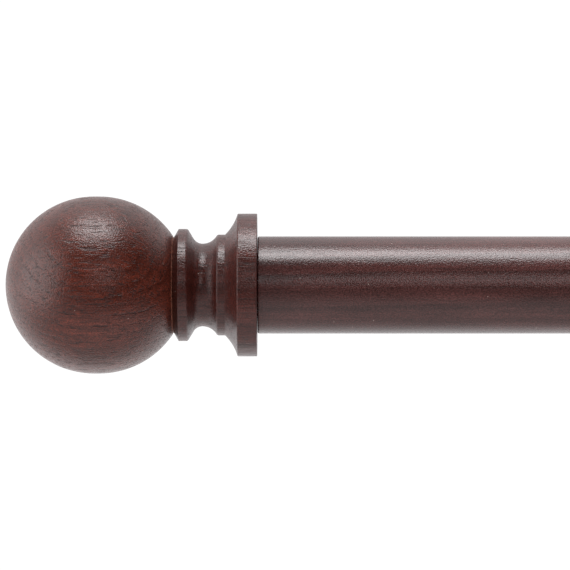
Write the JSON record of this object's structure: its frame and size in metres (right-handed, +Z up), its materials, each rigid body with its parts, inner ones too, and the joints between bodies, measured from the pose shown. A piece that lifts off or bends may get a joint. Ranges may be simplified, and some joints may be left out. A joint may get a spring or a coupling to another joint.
{
  "type": "curtain rod with brackets",
  "caption": "Dark-stained turned wooden curtain pole with ball finials that unscrew, lying in open wooden cradles on turned wall brackets.",
  "frame": {"origin": "centre of the four wall screw holes of the two wall plates, on the wall plane", "axes": "+X along the pole, +Y into the wall, +Z up; the room is on the -Y side"},
  "size_m": [1.0954, 0.1219, 0.066],
  "materials": {
    "pole_wood": "satin lacquer, dark mahogany stain",
    "finial_wood": "satin lacquer, dark mahogany stain, open grain",
    "bracket_wood": "satin lacquer, dark mahogany stain",
    "plain_wood": "bare beech",
    "brass": "turned",
    "zinc_steel": "zinc plated",
    "plate_steel": "pressed steel, zinc plated",
    "dark_screw": "oil-rubbed bronze"
  },
  "bodies": {
    "wall_brackets": {"left_wall_plate": "plate_steel", "left_plate_stud": "zinc_steel", "left_bracket_base": "bracket_wood", "left_arm_insert": "brass", "left_bracket_arm": "bracket_wood", "left_cradle_dowel_screw": "zinc_steel", "left_cradle": "bracket_wood", "right_wall_plate": "plate_steel", "right_plate_stud": "zinc_steel", "right_bracket_base": "bracket_wood", "right_arm_insert": "brass", "right_bracket_arm": "bracket_wood", "right_cradle_dowel_screw": "zinc_steel", "right_cradle": "bracket_wood"},
    "pole": {"pole": "pole_wood", "left_pole_insert": "brass", "right_pole_insert": "brass"},
    "left_finial_bolt": {"left_finial_bolt": "zinc_steel"},
    "left_finial": {"left_finial_neck": "finial_wood", "left_finial_dowel": "plain_wood", "left_finial_ball": "finial_wood"},
    "right_finial_bolt": {"right_finial_bolt": "zinc_steel"},
    "right_finial": {"right_finial_neck": "finial_wood", "right_finial_dowel": "plain_wood", "right_finial_ball": "finial_wood"},
    "left_retaining_screw": {"left_retaining_screw": "dark_screw"},
    "right_retaining_screw": {"right_retaining_screw": "dark_screw"}
  },
  "joints": [
    {"name": "pole_lift", "type": "slide", "parent": "wall_brackets", "child": "pole", "axis": [0, 0, 1], "range_m": [0, 0.05]},
    {"name": "left_finial_travel", "type": "slide", "parent": "pole", "child": "left_finial_bolt", "axis": [-1, 0, 0], "range_m": [0, 0.015]},
    {"name": "left_finial_turn", "type": "hinge", "parent": "left_finial_bolt", "child": "left_finial", "pos_m": [-0.4572, -0.09, 0], "axis": [-1, 0, 0], "range_deg": [0, 4320]},
    {"name": "right_finial_travel", "type": "slide", "parent": "pole", "child": "right_finial_bolt", "axis": [1, 0, 0], "range_m": [0, 0.015]},
    {"name": "right_finial_turn", "type": "hinge", "parent": "right_finial_bolt", "child": "right_finial", "pos_m": [0.4572, -0.09, 0], "axis": [1, 0, 0], "range_deg": [0, 4320]},
    {"name": "left_retaining_screw_travel", "type": "slide", "parent": "wall_brackets", "child": "left_retaining_screw", "axis": [0, 0, -1], "range_m": [0, 0.006]},
    {"name": "right_retaining_screw_travel", "type": "slide", "parent": "wall_brackets", "child": "right_retaining_screw", "axis": [0, 0, -1], "range_m": [0, 0.006]}
  ],
  "couplings": [
    {"joint": "left_finial_travel", "follows": "left_finial_turn", "m_per_rad": 0.00019894},
    {"joint": "right_finial_travel", "follows": "right_finial_turn", "m_per_rad": 0.00019894}
  ]
}
